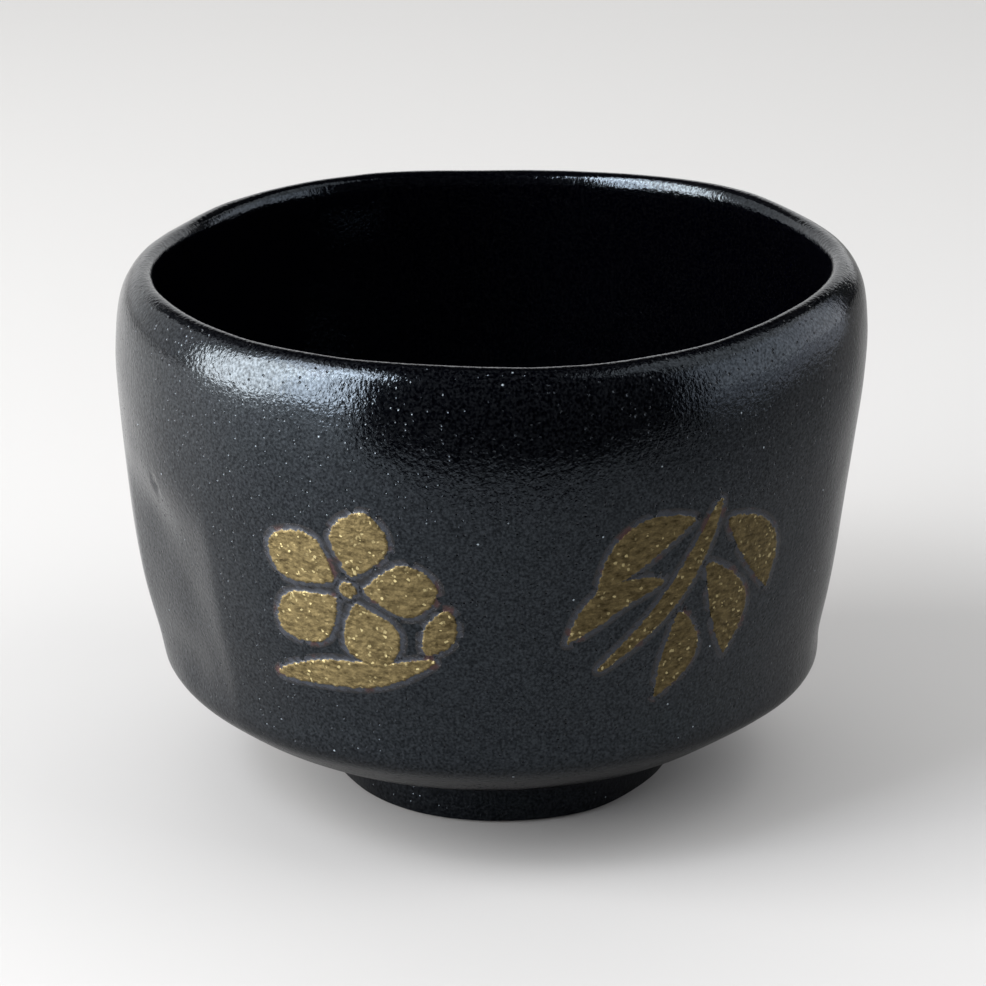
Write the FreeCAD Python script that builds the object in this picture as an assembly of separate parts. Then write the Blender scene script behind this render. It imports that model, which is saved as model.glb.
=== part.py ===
"""A hand-formed black tea bowl for whisked tea, 121 mm across and 88 mm high.

The bowl stands on its foot ring, with the table at Z = 0, +Z up and -Y its decorated face.
Its pieces are the fired clay bowl, the luted foot ring, three coats of glaze, and gold brush marks.
Coats and clay share their surfaces, so they meet face to face with no gap and no overlap.
"""

import FreeCAD
import Part

import math
import os

from FreeCAD import Vector

# Driving dimensions, in millimetres and degrees
GLAZE = 0.8                # thickness of each coat of glaze
GOLD = 0.2                 # thickness of the gold brush marks
BARE_EDGE = 0.5            # height up to which the foot ring is wiped bare of glaze
EDGE_ROUND = 0.4           # how far the foot ring's standing edges are drawn in
FOOT_OUT = 28.0            # foot ring's outside radius at its bare edge
FOOT_IN = 20.6             # foot ring's inside radius at its bare edge
FOOT_TOP_OUT = 27.9        # foot ring's outside radius where it is luted to the bowl
FOOT_TOP_IN = 19.6         # foot ring's inside radius where it is luted to the bowl
FOOT_SHIFT = 1.6           # how far the foot ring sits off the bowl's middle, towards +X
CENTRE_X, CENTRE_Y = -0.15, 0.47   # shift that puts the middle of the bowl's box over the origin

# Glaze surface outside, as (radius, height): up from the foot ring's bare edge to the lip
OUTSIDE = (
    (28.8, BARE_EDGE), (29.1, 2.2), (29.2, 4.4), (29.5, 6.6), (30.8, 8.2), (34.6, 9.0),
    (40.2, 11.2), (46.2, 14.4), (51.2, 18.0), (54.6, 20.8), (54.5, 25.8), (56.4, 35.7),
    (58.2, 48.8), (59.9, 61.4), (60.5, 71.5), (60.2, 79.2), (59.2, 84.6),
)
CREST = (56.3, 87.6)       # highest control ring of the lip
# Glaze surface inside, from the lip down to the tea pool in the middle of the floor
INSIDE = (
    (53.8, 86.9), (53.5, 83.2), (54.6, 76.0), (54.3, 66.0), (52.9, 52.0), (50.8, 38.0), (47.4, 26.5),
    (41.0, 18.8), (32.5, 15.6), (25.0, 14.8), (20.4, 14.3), (17.2, 13.0), (12.5, 12.8), (8.0, 12.8),
    (5.0, 12.8),
)
# Clay under the bowl, from the middle of the underside out to where the outside wall takes over
UNDERSIDE = (
    (5.0, 7.8), (8.0, 7.8), (13.0, 7.9), (19.0, 8.3), (25.0, 8.8), (30.0, 9.3), (34.6, 10.0),
)
WALL_START = 6             # first row of OUTSIDE that the clay follows one coat of glaze further in
# Glaze in the hollow of the foot, from the bare edge in to the middle of its ceiling
RECESS = (
    (19.8, BARE_EDGE), (19.4, 2.6), (18.9, 4.8), (17.6, 6.6), (14.5, 7.0), (8.0, 7.0), (5.0, 7.0),
)

# How the hand-formed bowl leaves a true circle, as (waves around, size, angle of a high place)
LIP_WAVES = ((1, 0.60, 8.0), (2, 0.65, 25.0), (3, 0.15, -6.0), (5, 0.35, -24.5))
WALL_WAVES = ((2, 0.30, 0.0), (3, 0.70, 3.0), (5, 0.40, -15.0))
LEAN = -0.6                # how far the upper wall leans over, towards +X
# Dents and, below zero, swellings left by thumb and spatula: (angle, height, half angle, half height, depth)
WALL_DENTS = (
    (193.0, 38.0, 17.0, 13.0, -1.6),
    (180.0, 27.0, 14.0, 5.0, 0.2),
    (222.0, 27.0, 12.0, 11.0, 0.35),
    (238.0, 52.0, 14.0, 12.0, 0.35),
    (-40.0, 33.0, 15.0, 14.0, 0.7),
    (-4.0, 54.0, 16.0, 9.0, 1.3),
    (0.0, 27.0, 16.0, 6.0, 0.9),
    (0.0, 17.5, 14.0, 2.8, -1.3),
    (60.0, 44.0, 20.0, 16.0, 0.7),
    (112.0, 30.0, 14.0, 13.0, 0.8),
    (150.0, 58.0, 16.0, 12.0, 0.6),
)
# Flat places that the knife left on the wall: (middle angle, half angle, and the heights where the cut starts,
# has its full depth, begins to run out and ends)
KNIFE_CUTS = ((208.0, 14.0, 16.0, 30.0, 50.0, 63.0),)
FOOT_CUTS = ((207.0, 2.0, 18.0, 9.0, 0.8), (325.0, 2.0, 22.0, 9.0, 1.0), (85.0, 2.0, 25.0, 9.0, 0.6))
POLES_AROUND = 60

# Gold brush marks as they lie seen from the front: (across, height) along each stroke, and its half widths
BLOSSOM_X, BLOSSOM_Z = -21.5, 51.5   # middle of the blossom
PETALS = 5
PETAL_LEAN = 12.0                    # lean of the first petal from upright
PETAL_REACH = (3.2, 7.4, 10.6)       # distances from the middle where a petal has its half widths
PETAL_HALF_WIDTHS = (1.1, 4.7, 4.5)
HEART_R = 1.3
TWIG = (((-32.0, 34.6), (-25.0, 36.8), (-17.0, 36.9), (-9.0, 40.6)), (1.0, 2.6, 2.2, 0.8))
BUD = (((-9.4, 42.6), (-7.6, 45.2), (-6.6, 48.6)), (1.2, 3.0, 1.5))
STEM = (
    ((34.6, 63.0), (32.4, 57.0), (29.2, 50.6), (24.2, 44.0), (16.6, 38.2)),
    (0.6, 1.2, 1.6, 1.3, 0.6),
)
LEAVES = (
    (((30.2, 61.0), (25.0, 60.4), (20.0, 56.6), (16.0, 51.4)), (0.8, 3.4, 3.6, 0.3)),
    (((36.4, 59.4), (39.6, 56.8), (42.0, 52.0), (42.6, 45.4)), (0.8, 3.0, 3.1, 0.3)),
    (((33.2, 52.4), (35.8, 48.0), (37.0, 42.8), (36.0, 36.0)), (0.8, 2.8, 3.3, 0.3)),
    (((25.8, 51.6), (19.8, 51.2), (15.2, 48.0), (11.6, 43.4)), (0.7, 2.5, 2.6, 0.3)),
    (((28.8, 45.0), (29.6, 40.8), (28.6, 36.6), (25.2, 31.6)), (0.8, 2.6, 3.1, 0.3)),
)
# Stretch of the wall that the gold lies on: first and last place along the profile, and around the bowl
GOLD_LOW, GOLD_HIGH = 9.0, 14.0
GOLD_LEFT, GOLD_RIGHT = 36.0, 56.0

ANGLES = [2.0 * math.pi * n / POLES_AROUND for n in range(POLES_AROUND)]
AROUND_KNOTS = [float(n) for n in range(POLES_AROUND + 1)]
CREST_ROW = len(OUTSIDE)


def smooth_step(low, high, value):
    """0 below low, 1 above high, and an even slope between them."""
    share = min(1.0, max(0.0, (value - low) / (high - low)))
    return share * share * (3.0 - 2.0 * share)


def waves(table, angle):
    """The sum of a table of waves at an angle in radians."""
    return sum(size * math.cos(n * (angle - math.radians(high))) for n, size, high in table)


def turn_between(first, second):
    """The smallest turn from one angle to another, in degrees."""
    return (first - second + 180.0) % 360.0 - 180.0


def dents(table, angle, height):
    """How deep a table of dents is at an angle in radians and a height."""
    depth = 0.0
    for middle, level, half_angle, half_height, size in table:
        away = turn_between(math.degrees(angle), middle)
        depth += size * math.exp(-((away / half_angle) ** 2) - ((height - level) / half_height) ** 2)
    return depth


def knife_cuts(radius, angle, height):
    """How deep the flat cuts are in a wall of a radius, at an angle in radians and a height."""
    depth = 0.0
    for middle, half_angle, start, full, fading, end in KNIFE_CUTS:
        away = turn_between(math.degrees(angle), middle)
        if abs(away) < half_angle:
            flat = radius * (1.0 - math.cos(math.radians(half_angle)) / math.cos(math.radians(away)))
            depth += flat * smooth_step(start, full, height) * (1.0 - smooth_step(fading, end, height))
    return depth


def hand_formed(radius, height, angle, dented=1.0):
    """The point of the hand-formed bowl for a place of an even, thrown one."""
    rise = smooth_step(12.0, 60.0, height)
    wall = smooth_step(32.0, 50.0, radius)
    foot = 1.0 - smooth_step(8.5, 12.5, height)
    rim = foot * smooth_step(14.0, 27.0, radius)
    moved = radius + wall * (0.4 + 0.6 * rise) * waves(WALL_WAVES, angle)
    depth = dents(WALL_DENTS, angle, height) + knife_cuts(radius, angle, height)
    moved -= wall * dented * depth + rim * dents(FOOT_CUTS, angle, height)
    lift = smooth_step(50.0, CREST[1], height) * waves(LIP_WAVES, angle)
    return Vector(
        CENTRE_X + FOOT_SHIFT * foot + LEAN * rise + moved * math.cos(angle),
        CENTRE_Y + moved * math.sin(angle),
        height + lift,
    )


def rows_of(profile):
    """Rows of control points around the bowl, one for each place of a profile."""
    rows = []
    for number, (radius, height) in enumerate(profile):
        dented = 1.0 if number <= CREST_ROW else 0.5
        rows.append([hand_formed(radius, height, angle, dented) for angle in ANGLES])
    return rows


def moved_off(rows, distance):
    """The rows moved along their surface's normals, outwards where distance is positive."""
    moved = []
    for i, row in enumerate(rows):
        before = rows[max(i - 1, 0)]
        after = rows[min(i + 1, len(rows) - 1)]
        line = []
        for j, point in enumerate(row):
            around = row[(j + 1) % POLES_AROUND] - row[j - 1]
            normal = around.cross(after[j] - before[j]).normalize()
            line.append(point + normal * distance)
        moved.append(line)
    return moved


def skin(rows):
    """A smooth surface that follows the rows, open along the profile and closed around the bowl."""
    spans = len(rows) - 3
    surface = Part.BSplineSurface()
    surface.buildFromPolesMultsKnots(
        rows, [4] + [1] * (spans - 1) + [4], [1] * len(AROUND_KNOTS),
        [float(n) for n in range(spans + 1)], AROUND_KNOTS, False, True, 3, 3,
    )
    return surface


def skin_end(surface):
    """The last place along a skin's profile."""
    return surface.getUKnots()[-1]


def stretch(surface, start, end):
    """The face of a skin between two places along its profile."""
    return surface.toShape(start, end, 0.0, AROUND_KNOTS[-1])


def ring_at(surface, place):
    """The edge around a skin at one place along its profile."""
    return surface.uIso(place).toShape()


def ring(radius, height):
    """The edge around the foot at a radius and height."""
    curve = Part.BSplineCurve()
    curve.buildFromPolesMultsKnots(
        [hand_formed(radius, height, angle) for angle in ANGLES],
        [1] * len(AROUND_KNOTS), AROUND_KNOTS, True, 3,
    )
    return curve.toShape()


def place_at_radius(surface, radius, start, end):
    """Where along a skin's profile its radius from the foot's middle reaches a value, by halving."""
    for _ in range(40):
        middle = 0.5 * (start + end)
        point = surface.value(middle, 0.0)
        if math.hypot(point.x - CENTRE_X - FOOT_SHIFT, point.y - CENTRE_Y) < radius:
            start = middle
        else:
            end = middle
    return 0.5 * (start + end)


def bands(*rings):
    """The ruled faces from each edge around the bowl to the next."""
    return [Part.makeRuledSurface(first, second) for first, second in zip(rings, rings[1:])]


def disc(edge):
    """The flat face inside a level edge."""
    return Part.Face(Part.Wire([edge]))


def solid_of(faces):
    """One closed solid from faces that share their edges."""
    shell = Part.makeShell([part for face in faces for part in face.Faces])
    shell.sewShape()
    solid = Part.makeSolid(Part.Shell(shell.Faces))
    if solid.Volume < 0:
        solid.reverse()
    return solid


class Bowl:
    """The skins of the bowl and the edges where its pieces meet."""

    def __init__(self):
        glaze_rows = rows_of(OUTSIDE + (CREST,) + INSIDE)
        under_glaze = moved_off(glaze_rows, -GLAZE)
        self.glaze = skin(glaze_rows)
        self.gold = skin(moved_off(glaze_rows, GOLD))
        self.clay = skin(rows_of(UNDERSIDE) + under_glaze[WALL_START:])
        self.recess = skin(rows_of(RECESS))
        self.crest = CREST_ROW - 1.0
        self.clay_crest = self.crest + len(UNDERSIDE) - WALL_START
        underside_end = float(len(UNDERSIDE) - 1)
        self.foot_in = place_at_radius(self.clay, FOOT_TOP_IN, 0.0, underside_end)
        self.foot_out = place_at_radius(self.clay, FOOT_TOP_OUT, 0.0, underside_end)
        self.bare_out = ring(FOOT_OUT, BARE_EDGE)
        self.bare_in = ring(FOOT_IN, BARE_EDGE)

    def clay_body(self):
        end = skin_end(self.clay)
        middles = [disc(ring_at(self.clay, 0.0)), disc(ring_at(self.clay, end))]
        return solid_of([stretch(self.clay, 0.0, end)] + middles)

    def foot_ring(self):
        top_out = ring_at(self.clay, self.foot_out)
        top_in = ring_at(self.clay, self.foot_in)
        stand_out = ring(FOOT_OUT - EDGE_ROUND, 0.0)
        stand_in = ring(FOOT_IN + EDGE_ROUND, 0.0)
        walls = bands(top_out, self.bare_out, stand_out) + bands(stand_in, self.bare_in, top_in)
        stand = disc(stand_out).cut(disc(stand_in))
        return solid_of([stretch(self.clay, self.foot_in, self.foot_out), stand] + walls)

    def lip_joint(self):
        """The band across the thickness of the glaze, along the crest of the lip."""
        return bands(ring_at(self.glaze, self.crest), ring_at(self.clay, self.clay_crest))

    def outer_glaze(self):
        coat = stretch(self.glaze, 0.0, self.crest)
        under = stretch(self.clay, self.foot_out, self.clay_crest)
        foot = bands(ring_at(self.glaze, 0.0), self.bare_out, ring_at(self.clay, self.foot_out))
        return solid_of([coat, under] + foot + self.lip_joint())

    def inner_glaze(self):
        coat = stretch(self.glaze, self.crest, skin_end(self.glaze))
        under = stretch(self.clay, self.clay_crest, skin_end(self.clay))
        middles = [disc(ring_at(skin_side, skin_end(skin_side))) for skin_side in (self.glaze, self.clay)]
        return solid_of([coat, under] + middles + self.lip_joint())

    def foot_recess_glaze(self):
        coat = stretch(self.recess, 0.0, skin_end(self.recess))
        under = stretch(self.clay, 0.0, self.foot_in)
        middles = [disc(ring_at(self.recess, skin_end(self.recess))), disc(ring_at(self.clay, 0.0))]
        wall = bands(ring_at(self.recess, 0.0), self.bare_in, ring_at(self.clay, self.foot_in))
        return solid_of([coat, under] + middles + wall)


    def gold_layer(self):
        """A layer as thick as the gold over the decorated stretch of the wall."""
        sides = []
        for surface in (self.glaze, self.gold):
            sides.append(surface.toShape(GOLD_LOW, GOLD_HIGH, GOLD_LEFT, GOLD_RIGHT))
        edges = zip(sides[0].OuterWire.OrderedEdges, sides[1].OuterWire.OrderedEdges)
        return solid_of(sides + [Part.makeRuledSurface(near, far) for near, far in edges])


def brush_outline(points, half_widths):
    """The smooth closed outline of one brush stroke, seen from the front."""
    middle = [Vector(across, 0.0, height) for across, height in points]
    left, right, directions = [], [], []
    for i, point in enumerate(middle):
        ahead = middle[min(i + 1, len(middle) - 1)] - middle[max(i - 1, 0)]
        directions.append(ahead.normalize())
        aside = Vector(-directions[i].z, 0.0, directions[i].x) * half_widths[i]
        left.append(point + aside)
        right.append(point - aside)
    start = middle[0] - directions[0] * half_widths[0]
    end = middle[-1] + directions[-1] * half_widths[-1]
    curve = Part.BSplineCurve()
    curve.buildFromPoles([start] + left + [end] + right[::-1], True, 3)
    return Part.Wire([curve.toShape()])


def brush_mark(layer, outline):
    """What an outline, seen from the front, cuts out of the gold layer."""
    face = Part.Face(outline)
    face.translate(Vector(CENTRE_X, -OUTSIDE[-1][0] * 1.2, 0.0))
    mark = layer.common(face.extrude(Vector(0.0, OUTSIDE[-1][0], 0.0)))
    return mark.Solids[0]


def petal(number):
    """The outline of one petal of the blossom."""
    turn = math.radians(PETAL_LEAN) + 2.0 * math.pi * number / PETALS
    points = [
        (BLOSSOM_X + reach * math.sin(turn), BLOSSOM_Z + reach * math.cos(turn)) for reach in PETAL_REACH
    ]
    return brush_outline(points, PETAL_HALF_WIDTHS)


def gold_marks(layer):
    """Every gold brush mark: a plum blossom with its bud and twig, and a spray of bamboo."""
    heart = Part.Circle(Vector(BLOSSOM_X, 0.0, BLOSSOM_Z), Vector(0.0, 1.0, 0.0), HEART_R)
    outlines = {f"gold_blossom_petal_{number + 1}": petal(number) for number in range(PETALS)}
    outlines["gold_blossom_heart"] = Part.Wire([heart.toShape()])
    outlines["gold_blossom_twig"] = brush_outline(*TWIG)
    outlines["gold_bud"] = brush_outline(*BUD)
    outlines["gold_bamboo_stem"] = brush_outline(*STEM)
    for number, leaf in enumerate(LEAVES):
        outlines[f"gold_bamboo_leaf_{number + 1}"] = brush_outline(*leaf)
    return {name: brush_mark(layer, outline) for name, outline in outlines.items()}


def main():
    os.makedirs("parts", exist_ok=True)
    bowl = Bowl()
    nodes = {
        "clay_body": bowl.clay_body(),
        "foot_ring": bowl.foot_ring(),
        "outer_glaze": bowl.outer_glaze(),
        "inner_glaze": bowl.inner_glaze(),
        "foot_recess_glaze": bowl.foot_recess_glaze(),
    }
    nodes.update(gold_marks(bowl.gold_layer()))
    for name, shape in nodes.items():
        shape.exportStep(f"parts/{name}.step")
        print(name, shape.isValid(), len(shape.Solids), f"{shape.Volume:.1f} mm3")


main()
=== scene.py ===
import math

import bmesh
import bpy
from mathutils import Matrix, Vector, kdtree, noise
from mathutils.bvhtree import BVHTree


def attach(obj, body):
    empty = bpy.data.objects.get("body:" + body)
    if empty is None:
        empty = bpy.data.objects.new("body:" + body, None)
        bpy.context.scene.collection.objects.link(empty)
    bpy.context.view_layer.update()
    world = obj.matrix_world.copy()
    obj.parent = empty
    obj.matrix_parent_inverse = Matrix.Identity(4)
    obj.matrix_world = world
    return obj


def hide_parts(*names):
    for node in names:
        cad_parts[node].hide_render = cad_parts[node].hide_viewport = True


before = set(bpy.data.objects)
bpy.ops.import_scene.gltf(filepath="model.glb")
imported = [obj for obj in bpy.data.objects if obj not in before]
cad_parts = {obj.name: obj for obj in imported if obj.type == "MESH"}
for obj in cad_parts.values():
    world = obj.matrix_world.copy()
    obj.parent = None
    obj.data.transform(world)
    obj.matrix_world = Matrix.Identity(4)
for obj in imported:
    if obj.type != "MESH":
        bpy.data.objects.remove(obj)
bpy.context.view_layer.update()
MM = 0.001

# The bowl's control rings as (radius, height) in millimetres, the same ones that the CAD skins follow
OUTSIDE = (
    (28.8, 0.5), (29.1, 2.2), (29.2, 4.4), (29.5, 6.6), (30.8, 8.2), (34.6, 9.0),
    (40.2, 11.2), (46.2, 14.4), (51.2, 18.0), (54.6, 20.8), (54.5, 25.8), (56.4, 35.7),
    (58.2, 48.8), (59.9, 61.4), (60.5, 71.5), (60.2, 79.2), (59.2, 84.6),
)
CREST = (56.3, 87.6)
INSIDE = (
    (53.8, 86.9), (53.5, 83.2), (54.6, 76.0), (54.3, 66.0), (52.9, 52.0), (50.8, 38.0), (47.4, 26.5),
    (41.0, 18.8), (32.5, 15.6), (25.0, 14.8), (20.4, 14.3), (17.2, 13.0), (12.5, 12.8), (8.0, 12.8),
    (5.0, 12.8), (0.0, 12.8),
)
RECESS = (
    (19.8, 0.5), (19.4, 2.6), (18.9, 4.8), (17.6, 6.6), (14.5, 7.0), (8.0, 7.0), (5.0, 7.0), (0.0, 7.0),
)
FOOT_RING = (
    (27.9, 8.8), (28.0, 4.5), (28.0, 0.9), (27.8, 0.0), (26.9, 0.0), (24.3, 0.0), (21.6, 0.0),
    (20.8, 0.0), (20.6, 0.9), (20.4, 4.5), (19.7, 8.2), (23.7, 8.5), (27.9, 8.8),
)
RINGS_AROUND = 60          # control points in a ring
CREST_ROW = len(OUTSIDE)   # the crest's row in the skin from foot to floor
FOOT_SHIFT = 1.6
LEAN = -0.6
CENTRE_X, CENTRE_Y = -0.15, 0.47
GLAZE = 0.8
GOLD = 0.2

# Where each way of leaving the even profile sets in and is full, as heights or radii
RISE_HEIGHTS = (12.0, 60.0)
WALL_RADII = (32.0, 50.0)
FOOT_HEIGHTS = (8.5, 12.5)
FOOT_CUT_RADII = (14.0, 27.0)
LIP_HEIGHTS = (50.0, CREST[1])
WAVES_LOW = 0.4            # share of the wall's waves at its lower end
DENTS_INSIDE = 0.5         # share of a dent's depth that shows on the inside

# How the hand-formed bowl leaves a true circle, as (waves around, size, angle of a high place)
LIP_WAVES = ((1, 0.60, 8.0), (2, 0.65, 25.0), (3, 0.15, -6.0), (5, 0.35, -24.5))
WALL_WAVES = ((2, 0.30, 0.0), (3, 0.70, 3.0), (5, 0.40, -15.0))
# Dents and, below zero, swellings: (angle, height, half angle, half height, depth)
WALL_DENTS = (
    (193.0, 38.0, 17.0, 13.0, -1.6),
    (180.0, 27.0, 14.0, 5.0, 0.2),
    (222.0, 27.0, 12.0, 11.0, 0.35),
    (238.0, 52.0, 14.0, 12.0, 0.35),
    (-40.0, 33.0, 15.0, 14.0, 0.7),
    (-4.0, 54.0, 16.0, 9.0, 1.3),
    (0.0, 27.0, 16.0, 6.0, 0.9),
    (0.0, 17.5, 14.0, 2.8, -1.3),
    (60.0, 44.0, 20.0, 16.0, 0.7),
    (112.0, 30.0, 14.0, 13.0, 0.8),
    (150.0, 58.0, 16.0, 12.0, 0.6),
)
FOOT_CUTS = ((207.0, 2.0, 18.0, 9.0, 0.8), (325.0, 2.0, 22.0, 9.0, 1.0), (85.0, 2.0, 25.0, 9.0, 0.6))

# Flat places that the knife left on the wall: (middle angle, half angle, and the heights where the cut
# starts, has its full depth, begins to run out and ends)
KNIFE_CUTS = ((208.0, 14.0, 16.0, 30.0, 50.0, 63.0),)
KNIFE_REACH = 3.0          # how many half angles away from its middle a cut can still be felt
KNIFE_EDGE = 0.3           # how far the glaze rounds the edge of a flat place
# Small folds on the flat place, in the same terms as the dents
FOLDS = (
    (205.0, 51.0, 4.0, 5.0, 0.12), (212.0, 52.0, 4.0, 4.0, -0.12), (213.0, 42.0, 4.0, 4.0, 0.14),
    (207.0, 34.0, 5.0, 4.0, -0.12), (216.0, 28.0, 4.0, 5.0, -0.12), (209.0, 24.0, 4.0, 4.0, 0.12),
)
# Unevenness that the glaze keeps after firing: (distance between swells, height of a swell), in millimetres
SWELLS = ((18.0, 0.22), (6.0, 0.05))
# A crater's raised lip: its height as a share of the depth, and its place and width as shares of the radius
CRATER_LIP, CRATER_LIP_AT, CRATER_LIP_WIDTH = 0.35, 1.1, 0.35
CRATER_REACH = 2.0
# Craters where a bubble burst in the glaze: (angle, height, radius, depth)
CRATERS = (
    (208.0, 58.5, 1.3, 0.40),
    (262.0, 22.0, 0.7, 0.12),
    (300.0, 27.0, 0.6, 0.10),
    (24.0, 66.0, 0.8, 0.14),
    (75.0, 33.0, 0.9, 0.16),
    (128.0, 58.0, 0.8, 0.14),
)


# ---------------------------------------------------------------- shape of the bowl


def smooth_step(low, high, value):
    """0 below low, 1 above high, and an even slope between them."""
    share = min(1.0, max(0.0, (value - low) / (high - low)))
    return share * share * (3.0 - 2.0 * share)


def waves(table, angle):
    """The sum of a table of waves at an angle in radians."""
    return sum(size * math.cos(n * (angle - math.radians(high))) for n, size, high in table)


def turn_between(first, second):
    """The smallest turn from one angle to another, in degrees."""
    return (first - second + 180.0) % 360.0 - 180.0


def dents(table, angle, height):
    """How deep a table of dents is at an angle in radians and a height."""
    depth = 0.0
    for middle, level, half_angle, half_height, size in table:
        away = turn_between(math.degrees(angle), middle)
        depth += size * math.exp(-((away / half_angle) ** 2) - ((height - level) / half_height) ** 2)
    return depth


def knife_cuts(radius, angle, height):
    """How deep the flat cuts are in a wall of a radius, at an angle in radians and a height."""
    depth = 0.0
    for middle, half_angle, start, full, fading, end in KNIFE_CUTS:
        away = turn_between(math.degrees(angle), middle)
        if abs(away) < KNIFE_REACH * half_angle:
            flat = radius * (1.0 - math.cos(math.radians(half_angle)) / math.cos(math.radians(away)))
            flat = 0.5 * (flat + math.hypot(flat, KNIFE_EDGE))
            depth += flat * smooth_step(start, full, height) * (1.0 - smooth_step(fading, end, height))
    return depth


def hand_formed(radius, height, angle, dented):
    """The hand-formed bowl's point, in metres, for a place of an even one in millimetres."""
    rise = smooth_step(*RISE_HEIGHTS, height)
    wall = smooth_step(*WALL_RADII, radius)
    foot = 1.0 - smooth_step(*FOOT_HEIGHTS, height)
    rim = foot * smooth_step(*FOOT_CUT_RADII, radius)
    moved = radius + wall * (WAVES_LOW + (1.0 - WAVES_LOW) * rise) * waves(WALL_WAVES, angle)
    moved -= wall * dented * dents(WALL_DENTS, angle, height) + rim * dents(FOOT_CUTS, angle, height)
    lift = smooth_step(*LIP_HEIGHTS, height) * waves(LIP_WAVES, angle)
    across = CENTRE_X + FOOT_SHIFT * foot + LEAN * rise + moved * math.cos(angle)
    return Vector((across, CENTRE_Y + moved * math.sin(angle), height + lift)) * MM


def rounded(cage, levels):
    """The bmesh of a cage after subdivision, on the smooth surface that the cage controls."""
    mesh = bpy.data.meshes.new("cage")
    cage.to_mesh(mesh)
    cage.free()
    holder = bpy.data.objects.new("cage", mesh)
    bpy.context.scene.collection.objects.link(holder)
    rounder = holder.modifiers.new("rounder", "SUBSURF")
    rounder.levels = levels
    rounder.render_levels = levels
    smooth = bpy.data.meshes.new_from_object(holder.evaluated_get(bpy.context.evaluated_depsgraph_get()))
    bm = bmesh.new()
    bm.from_mesh(smooth)
    bpy.data.objects.remove(holder)
    bpy.data.meshes.remove(mesh)
    bpy.data.meshes.remove(smooth)
    return bm


def spun_skin(profile, levels, inside_from=None):
    """A smooth hand-formed skin: a profile spun round the bowl's axis, with each point's row kept."""
    bm = bmesh.new()
    row = bm.verts.layers.float.new("row")
    line = [bm.verts.new((radius, 0.0, height)) for radius, height in profile]
    for number, vert in enumerate(line):
        vert[row] = number
    edges = [bm.edges.new(pair) for pair in zip(line, line[1:])]
    bmesh.ops.spin(
        bm, geom=line + edges, cent=(0, 0, 0), axis=(0, 0, 1),
        angle=math.tau, steps=RINGS_AROUND, use_merge=True,
    )
    bmesh.ops.remove_doubles(bm, verts=bm.verts, dist=0.01)
    for vert in bm.verts:
        dented = DENTS_INSIDE if inside_from is not None and vert[row] > inside_from else 1.0
        angle = math.atan2(vert.co.y, vert.co.x)
        vert.co = hand_formed(math.hypot(vert.co.x, vert.co.y), vert.co.z, angle, dented)
    bmesh.ops.recalc_face_normals(bm, faces=bm.faces)
    return rounded(bm, levels)


def finished(name, bm, slot, material, *nodes):
    """Makes a piece of a bmesh: it rides on the bowl and stands for CAD nodes."""
    mesh = bpy.data.meshes.new(name)
    bm.to_mesh(mesh)
    bm.free()
    mesh.shade_smooth()
    mesh.materials.append(material)
    piece = bpy.data.objects.new(name, mesh)
    bpy.context.scene.collection.objects.link(piece)
    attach(piece, "root")
    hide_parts(*nodes)
    return piece


# ---------------------------------------------------------------- glaze skins

ROW_SLACK = 0.01      # how far a vertex may be from a row and still belong to it


def weathered(skin):
    """Gives a glaze skin the unevenness and the burst bubbles of a real firing."""
    skin.normal_update()
    row = skin.verts.layers.float["row"]
    moves = {}
    for vert in skin.verts:
        deep = sum(size * noise.noise(vert.co / (apart * MM)) for apart, size in SWELLS)
        around, height = math.atan2(vert.co.y, vert.co.x), vert.co.z / MM
        angle = math.degrees(around)
        if vert[row] <= CREST_ROW:
            deep -= dents(FOLDS, around, height) + knife_cuts(vert.co.xy.length / MM, around, height)
        for middle, level, radius, depth in CRATERS:
            along = math.radians(turn_between(angle, middle)) * vert.co.xy.length / MM
            away = math.hypot(along, height - level) / radius
            if away < CRATER_REACH and vert[row] <= CREST_ROW:
                lip = CRATER_LIP * math.exp(-((away - CRATER_LIP_AT) / CRATER_LIP_WIDTH) ** 2)
                deep += depth * (lip - math.exp(-(away**4)))
        moves[vert] = vert.normal * deep * MM
    for vert, move in moves.items():
        vert.co += move
    skin.normal_update()
    facing = skin.verts.layers.float_vector.new("facing")
    for vert in skin.verts:
        vert[facing] = vert.normal


def kept_rows(skin, first, last):
    """A copy of a skin with only the rows from first to last."""
    bm = skin.copy()
    row = bm.verts.layers.float["row"]
    beyond = [vert for vert in bm.verts if not first - ROW_SLACK < vert[row] < last + ROW_SLACK]
    bmesh.ops.delete(bm, geom=beyond, context="VERTS")
    return bm


def coat(bm, thickness):
    """Turns a skin into a closed coat. Its hidden side keeps only every eighth ring."""
    row = bm.verts.layers.float["row"]
    facing = bm.verts.layers.float_vector["facing"]
    shell = bmesh.ops.solidify(bm, geom=bm.faces[:], thickness=thickness)
    hidden = {vert for face in shell["geom"] if isinstance(face, bmesh.types.BMFace) for vert in face.verts}
    for vert in hidden:
        vert[facing] = -vert[facing]
    spare = [
        edge for edge in bm.edges
        if all(v in hidden and ROW_SLACK < v[row] % 1.0 < 1.0 - ROW_SLACK for v in edge.verts)
        and abs(edge.verts[0][row] - edge.verts[1][row]) < 0.1 * ROW_SLACK and len(edge.link_faces) == 2
    ]
    bmesh.ops.dissolve_edges(bm, edges=spare, use_verts=True)
    return bm


def facing_kept(piece):
    """Gives a coat the normals of the whole skin, so that light runs unbroken over the lip."""
    facing = piece.data.attributes["facing"]
    normals = [item.vector.normalized() for item in facing.data]
    piece.data.attributes.remove(facing)
    piece.data.normals_split_custom_set_from_vertices(normals)


# ---------------------------------------------------------------- gold brush marks

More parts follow.
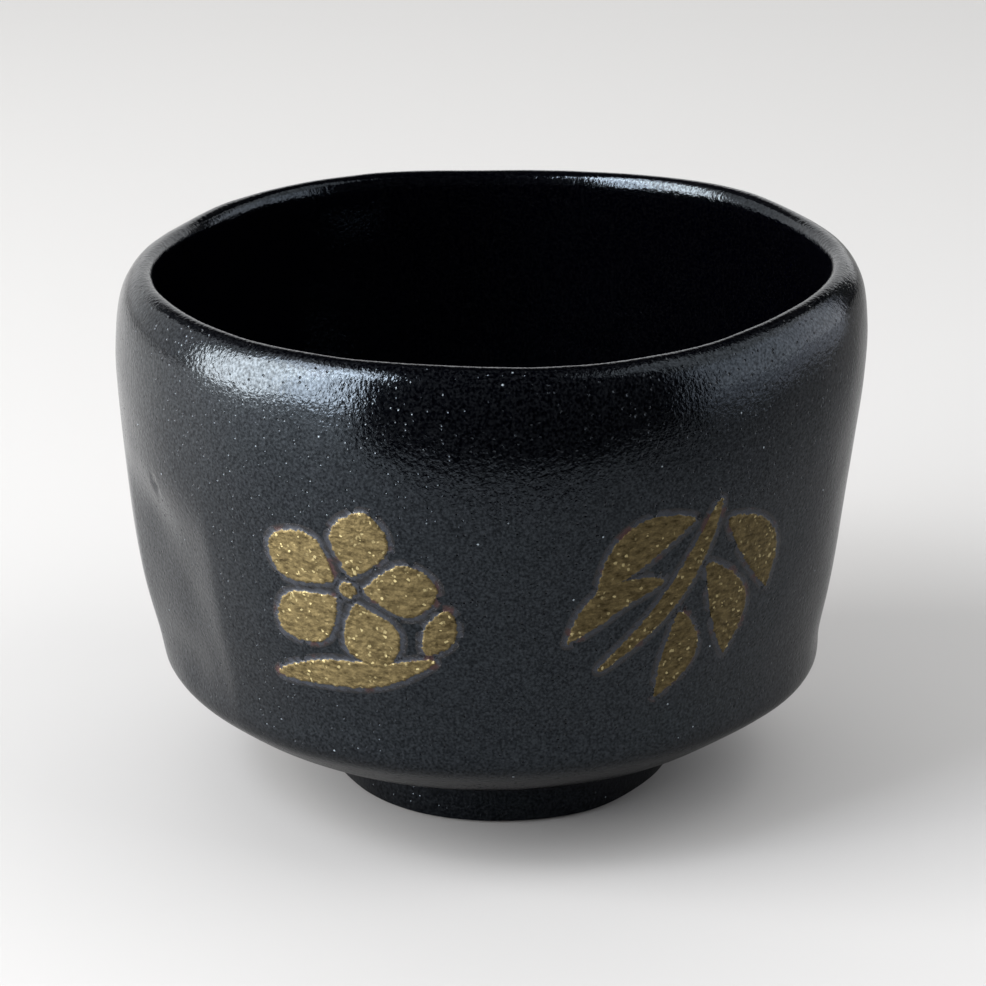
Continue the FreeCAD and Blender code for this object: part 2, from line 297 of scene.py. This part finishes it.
GOLD_STEP = 0.25      # spacing of the gold film's mesh
OUTLINE_STEP = 0.1    # spacing of the points that stand for a mark's outline
STREAK_LENGTH, STREAK_WIDTH = 1.5, 0.55
GRAIN_SIZE = 0.42
# The gold's ragged edge: how far streaks, grains and a spread move it, and where the film starts and is full
EDGE_STREAK, EDGE_GRAIN, EDGE_SPREAD = 0.18, 0.22, 0.02
EDGE_START, EDGE_FULL = -0.10, 0.16
RIM_AT, RIM_WIDTH = 0.35, 0.25
# Shares of the film's thickness: its ground, its raised rim, its streaks and its grains
FILM_GROUND, FILM_RIM, FILM_STREAK, FILM_GRAIN = 0.62, 0.20, 0.30, 0.28
HALO = 1.3            # width of the flux that bled out round each brush mark
FLUX_STREAK = 0.6     # how far streaks move the flux
BORDER_DEPTH = 0.03   # how deep the flux's outer border lies in the glaze
FLUX_HEIGHT = 0.04    # how far the flux rises from there
FILM_ROOT = 0.12      # how deep the film's hidden side lies in the glaze


def cad_skin(node):
    """A search tree of a CAD node's surface."""
    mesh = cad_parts[node].data
    return BVHTree.FromPolygons([v.co for v in mesh.vertices], [p.vertices for p in mesh.polygons])


def mark_front(node, wall):
    """The outer face of one gold CAD node, as a bmesh."""
    bm = bmesh.new()
    bm.from_mesh(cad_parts[node].data)
    bmesh.ops.remove_doubles(bm, verts=bm.verts, dist=0.001 * MM)
    proud = {vert for vert in bm.verts if wall.find_nearest(vert.co)[3] > 0.5 * GOLD * MM}
    rest = [face for face in bm.faces if not proud.issuperset(face.verts)]
    bmesh.ops.delete(bm, geom=rest, context="FACES")
    return bm


def outline_tree(bm):
    """A search tree of closely spaced points along a mesh's open edge."""
    points = []
    for edge in bm.edges:
        if edge.is_boundary:
            first, last = (vert.co for vert in edge.verts)
            count = 1 + int((last - first).length / (OUTLINE_STEP * MM))
            points += [first.lerp(last, n / count) for n in range(count)]
    tree = kdtree.KDTree(len(points))
    for number, point in enumerate(points):
        tree.insert(point, number)
    tree.balance()
    return tree


def widened(bm, width):
    """Adds a margin round a mesh's open edge. The margin's faces have material index 1."""
    away = {}
    border = [edge for edge in bm.edges if edge.is_boundary]
    for edge in border:
        face = edge.link_faces[0]
        first, last = (vert.co for vert in edge.verts)
        aside = (last - first).cross(face.normal).normalized()
        if aside.dot(face.calc_center_median() - first) > 0.0:
            aside.negate()
        for vert in edge.verts:
            away[vert] = away.get(vert, Vector()) + aside
    added = bmesh.ops.extrude_edge_only(bm, edges=border)["geom"]
    for item in added:
        if isinstance(item, bmesh.types.BMFace):
            item.material_index = 1
        if isinstance(item, bmesh.types.BMVert):
            source = next(e.other_vert(item) for e in item.link_edges if e.other_vert(item) in away)
            item.co += away[source].normalized() * width


def sliced(bm, step):
    """Cuts a mesh into a fine grid as seen from the front."""
    for axis in (0, 2):
        normal = Vector((0.0, 0.0, 0.0))
        normal[axis] = 1.0
        places = [vert.co[axis] for vert in bm.verts]
        for number in range(int(min(places) / step), int(max(places) / step) + 1):
            geom = bm.verts[:] + bm.edges[:] + bm.faces[:]
            point = normal * number * step
            bmesh.ops.bisect_plane(bm, geom=geom, dist=0.01 * step, plane_co=point, plane_no=normal)


def gold_film(node, wall, glaze):
    """The brushed film of one gold mark, laid on the glaze with a raised and ragged edge.

    Its attribute "film" is 0 at the outer border, 0.5 where the flux meets the gold and 1 on the gold.
    """
    bm = mark_front(node, wall)
    outline = outline_tree(bm)
    widened(bm, HALO * MM)
    sliced(bm, GOLD_STEP * MM)
    film = bm.verts.layers.float.new("film")
    lower = {}
    for vert in bm.verts:
        place, facing = glaze.find_nearest(vert.co)[:2]
        side = -1.0 if any(face.material_index for face in vert.link_faces) else 1.0
        inside = side * outline.find(vert.co)[2] / MM
        x, y, z = vert.co
        streak = noise.noise(Vector((x / STREAK_LENGTH, y, z / STREAK_WIDTH + x)) / MM)
        grain = noise.noise(vert.co / (GRAIN_SIZE * MM))
        ragged = inside + EDGE_STREAK * streak + EDGE_GRAIN * grain + EDGE_SPREAD
        gilt = smooth_step(EDGE_START, EDGE_FULL, ragged)
        rim = math.exp(-(((ragged - RIM_AT) / RIM_WIDTH) ** 2))
        height = gilt * (FILM_GROUND + FILM_RIM * rim + FILM_STREAK * streak + FILM_GRAIN * grain) * GOLD
        flux = smooth_step(-HALO, 0.0, inside + FLUX_STREAK * streak)
        vert[film] = 0.5 * (flux + gilt)
        height += FLUX_HEIGHT * smooth_step(-HALO, -0.8 * HALO, inside) - BORDER_DEPTH
        vert.co = place + facing * height * MM
        lower[vert] = place - facing * FILM_ROOT * MM
    for face in bm.faces:
        face.material_index = 0
    bmesh.ops.extrude_face_region(bm, geom=bm.faces[:])
    for vert, place in lower.items():
        vert.co = place
    bmesh.ops.recalc_face_normals(bm, faces=bm.faces)
    return bm


# ---------------------------------------------------------------- materials

# Real sizes of the glaze's patterns, in millimetres
PEEL, PEEL_DEPTH = 0.75, 0.075
HOLES_APART, GRAINS_APART = 1.1, 1.6
CLOUDS, MOTTLE = 9.0, 0.42
# Shares of the cells that have a pinhole, have no silica grain and have no white grain
HOLED, GRAINLESS, FLECKLESS = 0.5, 0.66, 0.95
# Sizes of the gold's patterns. Real powder is too fine to show, so its grains and flakes are drawn coarser.
GOLD_GRAINS, GOLD_FLAKES, BRUSH_LINES, STAINS = 0.45, 0.4, 1.1, 3.5
BRUSH_LINE_SHAPE = (0.6, 1.0, 1.5)
CLAY_TONES, SAND = 7.0, 0.9
PAPER_ROUGHNESS = 0.85
# Painted light and shade on the mirrored paper: it gets darker between these places in metres, from side to
# side, and round the foot, where it is painted shade under the bowl
PAINTED_LIGHT_FROM, PAINTED_LIGHT_TO = -0.25, 0.25
UNDER_BOWL, OPEN_PAPER = 0.055, 0.085
UNDER_BOWL_PAINTED_SHADE = 0.45


def linear(code):
    """The linear colour of an sRGB hex value."""
    parts = [int(code[n:n + 2], 16) / 255.0 for n in (1, 3, 5)]
    return [c / 12.92 if c <= 0.04045 else ((c + 0.055) / 1.055) ** 2.4 for c in parts] + [1.0]


def per_mm(size):
    """The pattern scale on coordinates in metres that repeats about every size millimetres."""
    return 1.0 / (size * MM)


def add(tree, kind, inputs=None, **settings):
    """Adds a node with its settings. An input is given a value, or another node's output to link."""
    node = tree.nodes.new(kind)
    for name, value in settings.items():
        setattr(node, name, value)
    for name, value in (inputs or {}).items():
        if isinstance(value, bpy.types.NodeSocket):
            tree.links.new(value, node.inputs[name])
        else:
            node.inputs[name].default_value = value
    return node


def new_material(name):
    """An empty material, its node tree, its output node and its object coordinates."""
    material = bpy.data.materials.new(name)
    material.use_nodes = True
    tree = material.node_tree
    tree.nodes.clear()
    output = add(tree, "ShaderNodeOutputMaterial")
    place = add(tree, "ShaderNodeTexCoord").outputs["Object"]
    return material, tree, output, place


def black_glaze(name, dust_and_shade_code, fleck_and_shade_code, grit_depth):
    """Black glaze of iron and manganese, pulled from the kiln while molten.

    It is glossy and nearly black all through. It cools so fast that its fine orange peel, its pinholes and
    its grains of unmelted silica stay, and each of them breaks up or catches the light. A fine mottle of
    more and less gloss runs through it.
    """
    # The outside's body and fleck colours are the glaze's own; the inside's darker ones are painted shade
    material, tree, output, place = new_material(name)
    peel = add(
        tree, "ShaderNodeTexNoise",
        {"Vector": place, "Scale": per_mm(PEEL), "Detail": 2.0, "Roughness": 0.6},
    )
    relief = add(
        tree, "ShaderNodeBump",
        {"Height": peel.outputs["Fac"], "Strength": 1.0, "Distance": PEEL_DEPTH * MM},
    )
    cells = add(tree, "ShaderNodeTexVoronoi", {"Vector": place, "Scale": per_mm(HOLES_APART)})
    hole = add(
        tree, "ShaderNodeMapRange",
        {"Value": cells.outputs["Distance"], "From Min": 0.05, "From Max": 0.22},
    )
    which = add(tree, "ShaderNodeSeparateColor", {"Color": cells.outputs["Color"]})
    sound = add(tree, "ShaderNodeMath", {0: which.outputs["Red"], 1: HOLED}, operation="GREATER_THAN")
    holes = add(tree, "ShaderNodeMath", {0: hole.outputs[0], 1: sound.outputs[0]}, operation="MAXIMUM")
    pitted = add(
        tree, "ShaderNodeBump",
        {
            "Height": holes.outputs[0], "Strength": 1.0, "Distance": grit_depth * MM,
            "Normal": relief.outputs["Normal"],
        },
    )
    silica = add(tree, "ShaderNodeTexVoronoi", {"Vector": place, "Scale": per_mm(GRAINS_APART)})
    grain = add(
        tree, "ShaderNodeMapRange",
        {
            "Value": silica.outputs["Distance"], "From Min": 0.04, "From Max": 0.13,
            "To Min": 1.0, "To Max": 0.0,
        },
    )
    chance = add(tree, "ShaderNodeSeparateColor", {"Color": silica.outputs["Color"]}).outputs["Green"]
    there = add(tree, "ShaderNodeMath", {0: chance, 1: GRAINLESS}, operation="GREATER_THAN")
    grains = add(tree, "ShaderNodeMath", {0: grain.outputs[0], 1: there.outputs[0]}, operation="MULTIPLY")
    gritty = add(
        tree, "ShaderNodeBump",
        {
            "Height": grains.outputs[0], "Strength": 1.0, "Distance": grit_depth * MM,
            "Normal": pitted.outputs["Normal"],
        },
    )
    cloud = add(
        tree, "ShaderNodeTexNoise",
        {"Vector": place, "Scale": per_mm(CLOUDS), "Detail": 5.0, "Roughness": 0.6},
    )
    rough = add(
        tree, "ShaderNodeMapRange", {"Value": cloud.outputs["Fac"], "To Min": 0.07, "To Max": 0.15},
    )
    mottle = add(tree, "ShaderNodeTexNoise", {"Vector": place, "Scale": per_mm(MOTTLE), "Detail": 2.0})
    dust = add(
        tree, "ShaderNodeMapRange", {"Value": mottle.outputs["Fac"], "From Min": 0.42, "From Max": 0.72},
    )
    gloss = add(
        tree, "ShaderNodeMapRange",
        {
            "Value": mottle.outputs["Fac"], "From Min": 0.3, "From Max": 0.7,
            "To Min": 0.25, "To Max": 0.75,
        },
    )
    body = add(
        tree, "ShaderNodeMix",
        {"Factor": dust.outputs[0], "A": linear("#000001"), "B": linear(dust_and_shade_code)}, data_type="RGBA",
    )
    white = add(tree, "ShaderNodeMath", {0: chance, 1: FLECKLESS}, operation="GREATER_THAN")
    fleck = add(tree, "ShaderNodeMath", {0: grain.outputs[0], 1: white.outputs[0]}, operation="MULTIPLY")
    colour = add(
        tree, "ShaderNodeMix",
        {"Factor": fleck.outputs[0], "A": body.outputs["Result"], "B": linear(fleck_and_shade_code)},
        data_type="RGBA",
    )
    shader = add(
        tree, "ShaderNodeBsdfPrincipled",
        {
            "Base Color": colour.outputs["Result"], "Roughness": rough.outputs[0],
            "Normal": gritty.outputs["Normal"], "IOR": 1.46, "Specular IOR Level": gloss.outputs[0],
            "Specular Tint": linear("#dff0ff"),
        },
    )
    tree.links.new(shader.outputs[0], output.inputs["Surface"])
    return material


def brushed_gold():
    """Gold powder painted on the glaze and fired, then lightly burnished.

    Coarse grains glint one by one on an olive gold ground with the brush's lines in it. Pinholes show the
    glaze, the edge is ragged, and a blue-grey flux with brown stains bleeds out round it. The flux is as
    glossy as the glaze at its border and duller toward the gold.
    """
    material, tree, output, place = new_material("gold_powder_fired_on")
    film = add(tree, "ShaderNodeAttribute", attribute_name="film").outputs["Fac"]
    grain = add(
        tree, "ShaderNodeTexNoise",
        {"Vector": place, "Scale": per_mm(GOLD_GRAINS), "Detail": 3.0, "Roughness": 0.6},
    )
    ragged = add(
        tree, "ShaderNodeMapRange", {"Value": grain.outputs["Fac"], "To Min": -0.3, "To Max": 0.3},
    )
    cover = add(tree, "ShaderNodeMath", {0: film, 1: ragged.outputs[0]}, operation="ADD")
    gilt = add(
        tree, "ShaderNodeMapRange", {"Value": cover.outputs[0], "From Min": 0.68, "From Max": 0.76},
    )
    strokes = add(tree, "ShaderNodeMapping", {"Vector": place, "Scale": BRUSH_LINE_SHAPE})
    brush = add(
        tree, "ShaderNodeTexNoise",
        {
            "Vector": strokes.outputs["Vector"], "Scale": per_mm(BRUSH_LINES),
            "Detail": 5.0, "Roughness": 0.7,
        },
    )
    tone = add(
        tree, "ShaderNodeMapRange", {"Value": brush.outputs["Fac"], "From Min": 0.3, "From Max": 0.7},
    )
    thin = add(
        tree, "ShaderNodeMix",
        {"Factor": tone.outputs[0], "A": linear("#3d3422"), "B": linear("#8b7c58")}, data_type="RGBA",
    )
    flakes = add(tree, "ShaderNodeTexVoronoi", {"Vector": place, "Scale": per_mm(GOLD_FLAKES)})
    shade = add(tree, "ShaderNodeSeparateColor", {"Color": flakes.outputs["Color"]})
    glint = add(
        tree, "ShaderNodeMapRange", {"Value": shade.outputs["Red"], "From Min": 0.95, "From Max": 1.0},
    )
    metal = add(
        tree, "ShaderNodeMix",
        {"Factor": glint.outputs[0], "A": thin.outputs["Result"], "B": linear("#cbbd8e")},
        data_type="RGBA",
    )
    stain = add(tree, "ShaderNodeTexNoise", {"Vector": place, "Scale": per_mm(STAINS), "Detail": 1.0})
    brown = add(
        tree, "ShaderNodeMapRange", {"Value": stain.outputs["Fac"], "From Min": 0.60, "From Max": 0.66},
    )
    flux = add(
        tree, "ShaderNodeMix",
        {"Factor": brown.outputs[0], "A": linear("#1e222a"), "B": linear("#2c1413")}, data_type="RGBA",
    )
    bled = add(tree, "ShaderNodeMapRange", {"Value": film, "From Min": 0.05, "From Max": 0.5})
    around = add(
        tree, "ShaderNodeMix",
        {"Factor": bled.outputs[0], "A": linear("#050507"), "B": flux.outputs["Result"]},
        data_type="RGBA",
    )
    colour = add(
        tree, "ShaderNodeMix",
        {"Factor": gilt.outputs[0], "A": around.outputs["Result"], "B": metal.outputs["Result"]},
        data_type="RGBA",
    )
    sparkle = add(
        tree, "ShaderNodeMapRange", {"Value": shade.outputs["Green"], "To Min": 0.72, "To Max": 0.52},
    )
    dull = add(tree, "ShaderNodeMapRange", {"Value": bled.outputs[0], "To Min": 0.12, "To Max": 0.45})
    rough = add(
        tree, "ShaderNodeMix", {"Factor": gilt.outputs[0], "A": dull.outputs[0], "B": sparkle.outputs[0]},
    )
    fine = add(
        tree, "ShaderNodeBump", {"Height": shade.outputs["Blue"], "Strength": 0.6, "Distance": 0.05 * MM},
    )
    grit = add(
        tree, "ShaderNodeBump",
        {
            "Height": grain.outputs["Fac"], "Strength": 0.6, "Distance": 0.10 * MM,
            "Normal": fine.outputs["Normal"],
        },
    )
    shader = add(
        tree, "ShaderNodeBsdfPrincipled",
        {
            "Base Color": colour.outputs["Result"], "Metallic": gilt.outputs[0],
            "Roughness": rough.outputs[0], "Normal": grit.outputs["Normal"],
        },
    )
    tree.links.new(shader.outputs[0], output.inputs["Surface"])
    return material


def bare_clay():
    """Low-fired sandy stoneware clay, wiped with a wet sponge, smoked dark in the kiln.

    It is matt and brown, and lighter grains of sand stand out of it.
    """
    material, tree, output, place = new_material("sandy_clay_sponged")
    tone = add(tree, "ShaderNodeTexNoise", {"Vector": place, "Scale": per_mm(CLAY_TONES), "Detail": 5.0})
    grit = add(tree, "ShaderNodeTexVoronoi", {"Vector": place, "Scale": per_mm(SAND)})
    ground = add(
        tree, "ShaderNodeMix",
        {"Factor": tone.outputs["Fac"], "A": linear("#3b302a"), "B": linear("#7a6555")},
        data_type="RGBA",
    )
    shade = add(tree, "ShaderNodeSeparateColor", {"Color": grit.outputs["Color"]})
    sandy = add(
        tree, "ShaderNodeMapRange", {"Value": shade.outputs["Red"], "From Min": 0.8, "From Max": 0.9},
    )
    colour = add(
        tree, "ShaderNodeMix",
        {"Factor": sandy.outputs[0], "A": ground.outputs["Result"], "B": linear("#a6917c")},
        data_type="RGBA",
    )
    bump = add(
        tree, "ShaderNodeBump",
        {"Height": grit.outputs["Distance"], "Strength": 0.6, "Distance": 0.12 * MM},
    )
    shader = add(
        tree, "ShaderNodeBsdfPrincipled",
        {
            "Base Color": colour.outputs["Result"], "Roughness": 0.88,
            "Normal": bump.outputs["Normal"], "IOR": 1.5,
        },
    )
    tree.links.new(shader.outputs[0], output.inputs["Surface"])
    return material


def plain(name, code, roughness):
    """A plain material for what isn't part of the bowl."""
    material, tree, output, _ = new_material(name)
    shader = add(tree, "ShaderNodeBsdfPrincipled", {"Base Color": linear(code), "Roughness": roughness})
    tree.links.new(shader.outputs[0], output.inputs["Surface"])
    return material


def paper_painted_light_and_shade():
    """Grey paper with painted light and shade: lighter on the side of the window and painted dark under the
    bowl.
    """
    material, tree, output, place = new_material("grey_paper_painted_light_and_shade")
    side = add(tree, "ShaderNodeSeparateXYZ", {"Vector": place})
    share = add(
        tree, "ShaderNodeMapRange",
        {"Value": side.outputs["X"], "From Min": PAINTED_LIGHT_FROM, "From Max": PAINTED_LIGHT_TO},
    )
    # Painted light: the paper is lighter toward the window and darker away from it
    tone = add(
        tree, "ShaderNodeMix",
        {"Factor": share.outputs[0], "A": linear("#999897"), "B": linear("#565554")}, data_type="RGBA",
    )
    away = add(tree, "ShaderNodeVectorMath", {0: place}, operation="LENGTH")
    under = add(
        tree, "ShaderNodeMapRange",
        {
            "Value": away.outputs["Value"], "From Min": UNDER_BOWL, "From Max": OPEN_PAPER,
            "To Min": UNDER_BOWL_PAINTED_SHADE, "To Max": 0.0,
        },
    )
    # Painted shade: the paper darkens toward black round the bowl's foot
    shaded = add(
        tree, "ShaderNodeMix",
        {"Factor": under.outputs[0], "A": tone.outputs["Result"], "B": linear("#000000")},
        data_type="RGBA",
    )
    shader = add(
        tree, "ShaderNodeBsdfPrincipled",
        {"Base Color": shaded.outputs["Result"], "Roughness": PAPER_ROUGHNESS},
    )
    tree.links.new(shader.outputs[0], output.inputs["Surface"])
    return material


# ---------------------------------------------------------------- pieces


def make_bowl():
    """Makes every visible piece of the bowl."""
    glaze = black_glaze("black_raku_glaze_kiln_pulled", "#0b0c0e", "#7d868c", 0.09)
    # Painted shade: the inside's glaze is the outside's with a darker body and darker flecks, for the dark
    # hollow of the bowl
    shaded = black_glaze("black_raku_glaze_inside_painted_shade", "#030304", "#0c0d0f", 0.01)
    gold, clay = brushed_gold(), bare_clay()
    skin = spun_skin(OUTSIDE + (CREST,) + INSIDE, 3, inside_from=CREST_ROW)
    weathered(skin)
    outside = kept_rows(skin, 0, CREST_ROW)
    laid_on = BVHTree.FromBMesh(outside)
    wall = cad_skin("outer_glaze")
    outer = finished("outer_glaze_coat", coat(outside, GLAZE * MM), "black_glaze", glaze, "outer_glaze")
    facing_kept(outer)
    inside = kept_rows(skin, CREST_ROW, len(OUTSIDE + INSIDE))
    inner = finished("inner_glaze_coat", coat(inside, GLAZE * MM), "black_glaze", shaded, "inner_glaze")
    facing_kept(inner)
    skin.free()
    recess = spun_skin(RECESS, 2)
    bmesh.ops.solidify(recess, geom=recess.faces[:], thickness=GLAZE * MM)
    finished("foot_recess_coat", recess, "black_glaze", glaze, "foot_recess_glaze")
    finished("luted_foot_ring", spun_skin(FOOT_RING, 2), "clay", clay, "foot_ring")
    for node in sorted(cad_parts):
        if node.startswith("gold_"):
            film = gold_film(node, wall, laid_on)
            finished(node.replace("gold_", "gilt_"), film, "gold", gold, node)
    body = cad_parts["clay_body"]
    body.data.materials.clear()
    body.data.materials.append(clay)


# ---------------------------------------------------------------- studio

VIEW_DISTANCE = 0.560
VIEW_RISE = math.radians(21.05)
VIEW_AT = Vector((CENTRE_X * MM, CENTRE_Y * MM, 0.042))
LENS, SENSOR = 123.4, 36.0
LENS_SHIFT = (0.0019, 0.0259)
NEAREST = 0.01
FLOOR = (6.0, 6.0)
MIRRORED_LIFT = 0.2    # how far the mirrored paper lies above the floor, in millimetres
# Soft lights: (name, bearing, rise, away, width and height, radiance, colour)
SOFTBOXES = (
    ("window_left", 76.0, 22.0, 1.1, (0.56, 0.96), 15.0, "#fffefc"),
    ("window_left_curtain", 52.0, 27.0, 1.1, (0.34, 1.15), 14.0, "#f6f9ff"),
    ("window_left_top", 66.0, 54.0, 1.1, (0.62, 0.28), 9.0, "#f6f9ff"),
    ("panel_right", -90.0, 18.0, 0.30, (0.34, 0.22), 0.72, "#ebf0ff"),
)
# Lights for the floor and the backdrop, which the glaze doesn't mirror
FLOOR_LIGHTS = (
    ("backdrop_light", 180.0, 55.0, 1.2, (1.6, 0.8), 2.4, "#ffffff"),
    ("fill_right", -75.0, 50.0, 1.2, (0.8, 0.8), 4.0, "#ffffff"),
)
# Black cards that only the glaze mirrors, painted dark reflections that block no light: (name, bearing,
# rise, away, width and height)
BLACK_CARDS = (
    ("black_card_front", -12.0, 10.0, 0.215, (0.50, 0.60)),
    ("black_card_above", 0.0, 88.0, 0.60, (0.56, 1.0)),
    ("black_card_behind", 180.0, 54.0, 0.70, (1.2, 0.55)),
    ("black_card_right", -131.0, 18.0, 0.42, (0.16, 0.22)),
)


def make_camera():
    """Stands the camera in front of the bowl, looking down on it a little."""
    data = bpy.data.cameras.new("camera")
    data.lens = LENS
    data.sensor_width = SENSOR
    data.shift_x, data.shift_y = LENS_SHIFT
    data.clip_start = NEAREST
    camera = bpy.data.objects.new("camera", data)
    back = Vector((0.0, -math.cos(VIEW_RISE), math.sin(VIEW_RISE)))
    camera.location = VIEW_AT + back * VIEW_DISTANCE
    camera.rotation_mode = "QUATERNION"
    camera.rotation_quaternion = (-back).to_track_quat("-Z", "Y")
    bpy.context.scene.collection.objects.link(camera)
    bpy.context.scene.camera = camera


def toward(bearing, rise):
    """The direction of a bearing and a rise in degrees. Bearing 0 is the camera's side, 90 is the left."""
    turn, lift = math.radians(bearing), math.radians(rise)
    level = math.cos(lift)
    return Vector((-math.sin(turn) * level, -math.cos(turn) * level, math.sin(lift)))


def aimed_at_bowl(item, bearing, rise, away):
    """Stands a light or a card at a distance from the bowl, facing it."""
    item.location = VIEW_AT + toward(bearing, rise) * away
    item.rotation_mode = "QUATERNION"
    item.rotation_quaternion = (-toward(bearing, rise)).to_track_quat("-Z", "Y")
    bpy.context.scene.collection.objects.link(item)


def softbox(name, bearing, rise, away, size, radiance, code):
    """A rectangular studio light aimed at the bowl, out of the camera's sight."""
    data = bpy.data.lights.new(name, "AREA")
    data.shape = "RECTANGLE"
    data.size, data.size_y = size
    data.energy = math.pi * size[0] * size[1] * radiance
    data.color = linear(code)[:3]
    light = bpy.data.objects.new(name, data)
    light.visible_camera = False
    aimed_at_bowl(light, bearing, rise, away)
    return light


def flat_sheet(name, size, material):
    """A flat sheet of a width and a height, such as a floor or a card."""
    bm = bmesh.new()
    bmesh.ops.create_grid(bm, x_segments=1, y_segments=1, size=0.5)
    bmesh.ops.scale(bm, vec=(size[0], size[1], 1.0), verts=bm.verts)
    mesh = bpy.data.meshes.new(name)
    bm.to_mesh(mesh)
    bm.free()
    mesh.materials.append(material)
    sheet = bpy.data.objects.new(name, mesh)
    return sheet


def only_mirrored(sheet):
    """Lets a sheet be seen only where the glaze mirrors it."""
    sheet.visible_camera = False
    sheet.visible_diffuse = False
    sheet.visible_shadow = False


def make_studio():
    """Makes the floor, the lights, the cards and the plain surroundings."""
    floor = flat_sheet("floor", FLOOR, plain("pale_paper_floor", "#929190", PAPER_ROUGHNESS))
    bpy.context.scene.collection.objects.link(floor)
    # Painted shade in the floor's reflection: a copy of the floor that only the glaze mirrors, mostly darker
    # than the floor and lighter only toward the window
    mirrored = flat_sheet("floor_mirrored_painted_light_and_shade", FLOOR, paper_painted_light_and_shade())
    mirrored.location.z = MIRRORED_LIFT * MM
    bpy.context.scene.collection.objects.link(mirrored)
    only_mirrored(mirrored)
    black = plain("black_card", "#0a0a0a", 0.9)
    for name, bearing, rise, away, size in BLACK_CARDS:
        card = flat_sheet(name, size, black)
        only_mirrored(card)
        aimed_at_bowl(card, bearing, rise, away)
    world = bpy.data.worlds.new("studio")
    world.use_nodes = True
    backdrop = world.node_tree.nodes["Background"]
    backdrop.inputs["Color"].default_value = linear("#e6e6e6")
    backdrop.inputs["Strength"].default_value = 1.25
    bpy.context.scene.world = world
    bpy.context.scene.view_settings.view_transform = "Standard"
    for light in SOFTBOXES:
        softbox(*light)
    for light in FLOOR_LIGHTS:
        softbox(*light).visible_glossy = False


make_bowl()
make_camera()
make_studio()
